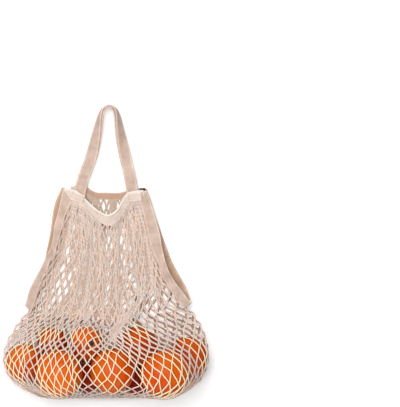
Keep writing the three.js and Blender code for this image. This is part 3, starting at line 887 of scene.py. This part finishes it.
def drawn_film(points):
    """Front panel as a film over the fruit: each inner height is the mean of its four neighbours less a
    little sag, and never under the oranges. Every other point in turn moves past its mean, to settle soon."""
    apart = ((points[..., None, :2] - fruit[:, :2]) ** 2).sum(-1)
    room = (fruit[:, 3] + CORD_RADIUS) ** 2 - apart
    over_fruit = np.where(room > 0, fruit[:, 2] + np.sqrt(np.maximum(room, 0)), 0).max(-1)
    lowest = np.maximum(over_fruit, NET_LOWEST)[1:-1, 1:-1]
    z = points[..., 2].copy()
    inner = z[1:-1, 1:-1]
    inner[:] = np.maximum(inner, lowest)
    turn = np.indices(inner.shape).sum(0) % 2
    for step in range(FILM_STEPS):
        mean = (z[:-2, 1:-1] + z[2:, 1:-1] + z[1:-1, :-2] + z[1:-1, 2:]) / 4
        moved = np.maximum(inner + FILM_OVERSHOOT * (mean - NET_SAG - inner), lowest)
        inner[:] = np.where(turn == step % 2, moved, inner)
    return np.dstack([points[..., :2], z])


def evened(points):
    """Front panel whose columns round the right-hand side slide along the film towards even lengths of it."""
    side = points[:, FINE * EVEN_COLUMN:]
    run = travelled(side, 1)
    share = np.interp(ROWS * level_fine, EVEN_ROWS, EVEN_SHARES)[:, None]
    want = (1 - share) * run + share * run[:, -1:] * np.linspace(0, 1, side.shape[1])
    slid = [at_lengths(*level) for level in zip(want, run, side)]
    return np.concatenate([points[:, :FINE * EVEN_COLUMN], slid], 1)


def rolled_back(points, outline):
    """Back panel: flat on the floor, and rolled up to the bag's edge. Near the edge its height is that of a
    quarter of a circle, whose radius is the edge's own height."""
    apart = np.linalg.norm(points[:, :, None, :2] - outline[:, :2], axis=-1)
    radius = outline[apart.argmin(-1), 2]
    share = np.clip(1 - apart.min(-1) / radius, 0, 1)
    height = CORD_RADIUS + (radius - CORD_RADIUS) * (1 - np.sqrt(1 - share**2))
    height[:, [0, -1]] = points[:, [0, -1], 2]
    height[[0, -1]] = points[[0, -1], :, 2]
    return np.dstack([points[..., :2], height])


front = evened(drawn_film(panel(("side_front_left", "rim_front", "side_front_right"), bunched(0))))
edge = front[FINE * SLIT_ROW + FINE:]
outline = np.concatenate([edge[:, 0], edge[-1], edge[::-1, -1]])
back = rolled_back(panel(("side_back_left", "rim_back", "side_back_right"), bunched(BACK_PHASE)), outline)

# The knots of the whole net as one sheet: rows from the front rim over the foot to the back rim, two columns
# of knots to one of cells. The free upper net is pleated, each column lying a little over or under the next.
ROW_SLIP = {"reach": 0.22, "per_column": 2.3, "per_row": 1.1}
LOOSE_ROWS = [12, 18]
PLEAT = 2.4 * MM
PLEAT_WAVES = [
    {"reach": 0.625, "per_column": 0.98, "start": 1.2}, {"reach": 0.375, "per_column": 1.48, "per_row": 0.2}]
JITTER = 0.45 * MM
JITTER_SEED = 5
ROW_LAG = {"reach": 2.4 * MM, "per_column": 1.9, "per_row": 0.3}


def knots_on(points):
    """Knots of a panel: at even levels beside the slit, and below it along each column at lengths that are
    even but for a slip, which is a sine of the column and the row. The foot's own row doesn't slip."""
    beside_slit = points[:FINE * SLIT_ROW + 1:FINE, ::FINE // 2]
    pouch = points[FINE * SLIT_ROW:, ::FINE // 2]
    run = travelled(pouch)
    pouch_rows = ROWS - SLIT_ROW
    row = np.arange(1, pouch_rows + 1)[:, None]
    slip = net_wave(np.arange(pouch.shape[1]), row, **ROW_SLIP) * (row < pouch_rows)
    want = (row + slip) / pouch_rows * run[-1]
    on_fruit = [at_lengths(*column) for column in zip(want.T, run.T, pouch.swapaxes(0, 1))]
    return np.concatenate([beside_slit, np.stack(on_fruit, 1)])


net = np.concatenate([knots_on(front), knots_on(back)[-2::-1]])
half_column = np.arange(2 * COLUMNS + 1)[None]
row = np.arange(2 * ROWS + 1)[:, None]
from_rim = np.minimum(row, row[::-1])
from_side = np.minimum(half_column, half_column[:, ::-1])
loose = np.interp(from_rim, LOOSE_ROWS, [1, 0])
free = loose * np.clip(from_rim / HELD_EDGE, 0, 1) * np.clip(from_side / HELD_EDGE, 0, 1)
pleats = sum(net_wave(half_column, row, **wave) for wave in PLEAT_WAVES)
net[..., 2] += PLEAT * free * np.where(row <= ROWS, pleats, (1 + pleats) / 2)
net[..., :2] += np.random.default_rng(JITTER_SEED).normal(0, JITTER, net[..., :2].shape) * free[..., None]
net[..., 1] += net_wave(half_column, row, **ROW_LAG) * free

# The fold: above the fruit on the right a band of the front net is drawn together into one thick strand,
# which runs slantwise down to the middle and lies on top.
FOLD = np.array([[55, -78], [14, -132]]) * MM
FOLD_REACH = 22 * MM
FOLD_DRAW = 0.86
FOLD_LIFT = 7 * MM
FOLD_SWELL = 1.3 * MM
FOLD_CORE = FOLD_REACH / 3
fold_side = unit(np.array([FOLD[0, 1] - FOLD[1, 1], FOLD[1, 0] - FOLD[0, 0]]))


def fold_pull(points, reach):
    """Distance of points from the line of the fold, and how much they belong to it: a bell curve of that
    distance that also fades beyond the fold's ends."""
    length = np.linalg.norm(FOLD[1] - FOLD[0])
    apart = (points[..., :2] - FOLD[0]) @ fold_side
    along = (points[..., :2] - FOLD[0]) @ np.array([fold_side[1], -fold_side[0]])
    beyond = np.maximum(np.abs(along - length / 2) - length / 2, 0)
    return apart, np.exp(-((apart / reach) ** 2) - (beyond / reach) ** 2)


apart, pull = fold_pull(net[:ROWS], FOLD_REACH)
net[:ROWS, :, :2] -= (FOLD_DRAW * pull * apart)[..., None] * fold_side
net[:ROWS, :, 2] += FOLD_LIFT * pull

# The cords through the knots. Where two meet they lie side by side, to the left and right of the knot. Drawn
# over fruit the yarn is thin, and clear of it, away from the foot, it is relaxed and thick.
KNOT_ASIDE = 0.75 * CORD_RADIUS
CORD_STEPS = 6
CORD_SIDES = 8
SLACK_RADIUS = 1.52 * MM
SLACK_CLEAR = (1.5 * MM, 9 * MM)
SLACK_RISE = (0.1, 0.55)
SLACK_ROWS = (7, 13)
PLY_LENGTH = 3.2 * MM
PLIES = 3
PLY_WAVE = 0.314
# Yarn tones, a pale and a brown each. Those for yarn drawn over fruit are paler and warmer: painted light.
# The back panel's tones are a browner copy of the front's: painted shade.
FRONT_LIT_OVER_FRUIT = [(0.96, 0.80, 0.54), (0.90, 0.73, 0.48)]
FRONT_RELAXED = [(0.78, 0.605, 0.52), (0.71, 0.54, 0.455)]
SHADED_BACK_LIT_OVER_FRUIT = [(0.82, 0.63, 0.50), (0.74, 0.55, 0.43)]
SHADED_BACK_RELAXED = [(0.64, 0.47, 0.375), (0.56, 0.40, 0.31)]

sideways = np.zeros_like(net)
sideways[:, 2:-2] = net[:, 4:] - net[:, :-4]
sideways[:, :2] = net[:, 2:4] - net[:, :2]
sideways[:, -2:] = net[:, -2:] - net[:, -4:-2]
sideways = unit(sideways)


def cord_paths(first, last):
    """Middle lines of all cords between two rows, with the direction across the net at each point. Between
    two knots a cord goes straight along the net and eases across it, half by the line and half by 3t² − 2t³.
    What would be inside an orange is moved out to its peel."""
    row = np.arange(first, last + 1)
    odd = row % 2
    to_right = 2 * np.arange(COLUMNS)[:, None] + odd
    to_left = 2 * np.arange(1, COLUMNS + 1)[:, None] - odd
    column = np.concatenate([to_right, to_left])
    lean = np.concatenate([np.ones(COLUMNS), -np.ones(COLUMNS)])[:, None] * (1 - 2 * odd)
    side = sideways[row, column]
    knots = net[row, column] + KNOT_ASIDE * lean[..., None] * side
    t = np.arange(CORD_STEPS)[:, None] / CORD_STEPS
    ease = 0.5 * t + 0.5 * (3 * t**2 - 2 * t**3)
    a, b = knots[:, :-1, None], knots[:, 1:, None]
    side_a, side_b = side[:, :-1, None], side[:, 1:, None]
    crosswise = ((b - a) * side_a).sum(-1, keepdims=True) * side_a
    path = a + (b - a) * t + crosswise * (ease - t)
    path = np.concatenate([path.reshape(len(column), -1, 3), knots[:, -1:]], 1)
    across = np.concatenate([(side_a + (side_b - side_a) * t).reshape(len(column), -1, 3), side[:, -1:]], 1)
    for *centre, radius in fruit:
        out = path - centre
        apart = np.linalg.norm(out, axis=-1, keepdims=True)
        reach = radius + CORD_RADIUS
        path = np.where(apart < reach, centre + out * reach / np.maximum(apart, TINY), path)
    path[..., 2] = np.maximum(path[..., 2], SLACK_RADIUS)
    return path, across


def slack_and_shade_of(path):
    """How relaxed the yarn is, which also sets its painted light: 0 drawn over the crown of a fruit, where
    the yarn takes its paler, warmer lit tone, 1 clear of it or down its side.
    """
    painted_glow_share = np.linalg.norm(path[:, :, None] - fruit[:, :3], axis=-1) - fruit[:, 3]
    nearest = fruit[painted_glow_share.argmin(-1)]
    rise = (path[..., 2] - nearest[..., 2]) / nearest[..., 3]
    return np.maximum(smoothstep(painted_glow_share.min(-1), *SLACK_CLEAR), 1 - smoothstep(rise, *SLACK_RISE))


def net_cotton(name, tight, relaxed):
    """Cotton yarn: from a pale and a brown with painted light, bright and warm as if lit by the peel, for
    yarn drawn over the crown of a fruit, to those for relaxed yarn, with light that spreads inside it and
    plies that wind round the cord."""
    material, tree, thread_map, tone, shade, twist = soft_cotton(
        name,
        {"Roughness": 0.85, "Subsurface Weight": 0.5, "Subsurface Radius": (0.004, 0.003, 0.0022),
         "Subsurface Scale": 1},
        {"Strength": 0.6, "Distance": 0.0004})
    slack_and_shade = add_node(tree, "Attribute", attribute_name="slack_and_shade")
    for socket, lit_tone, loose in zip(("Pale", "Brown"), tight, relaxed):
        by_slack = add_node(tree, "Mix", {MIX_A: (*lit_tone, 1), MIX_B: (*loose, 1)}, data_type="RGBA")
        wire(tree, (slack_and_shade, "Fac", by_slack, "Factor"), (by_slack, MIX_RESULT, tone, socket))
    ply = add_node(tree, "Mapping", {"Scale": (1 / PLY_LENGTH, PLIES, 0)})
    strands = add_node(
        tree, "TexWave", {"Scale": PLY_WAVE, "Distortion": 0.6},
        wave_type="BANDS", bands_direction="DIAGONAL")
    strand_shade = add_node(tree, "MapRange", {"To Min": 0.82, "To Max": 1.03})
    wire(tree,
         (thread_map, "UV", ply, "Vector"),
         (ply, "Vector", strands, "Vector"),
         (strands, "Fac", strand_shade, "Value"),
         (strands, "Fac", twist, "Height"),
         (strand_shade, "Result", shade, MIX_B))
    return material


# The back panel's yarn is a browner copy of the front's: painted shade.
front_cotton = net_cotton("net_cotton", FRONT_LIT_OVER_FRUIT, FRONT_RELAXED)
shaded_back_cotton = net_cotton("net_cotton_shaded", SHADED_BACK_LIT_OVER_FRUIT, SHADED_BACK_RELAXED)

for name, first, last, cotton in (
        ("net_front", 0, ROWS, front_cotton), ("net_back", ROWS, 2 * ROWS, shaded_back_cotton)):
    path, across = cord_paths(first, last)
    slack_and_shade = slack_and_shade_of(path)
    from_foot = np.abs(np.linspace(first, last, path.shape[1]) - ROWS)
    fluffed = slack_and_shade * smoothstep(from_foot, *SLACK_ROWS)
    swollen = FOLD_SWELL * fold_pull(path, FOLD_CORE)[1] if name == "net_front" else 0
    radius = CORD_RADIUS + (SLACK_RADIUS - CORD_RADIUS) * fluffed + swollen
    rings = tube_rings(path, across, radius, CORD_SIDES)
    cords = skin(name, rings, travelled(path, 1), np.linspace(0, 1, CORD_SIDES + 1), cotton)
    by_point = np.broadcast_to(slack_and_shade[..., None], rings.shape[:3])
    cords.data.attributes.new("slack_and_shade", "FLOAT", "POINT").data.foreach_set("value", by_point.ravel())
    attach(cords, "root")
    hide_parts("bag_net")
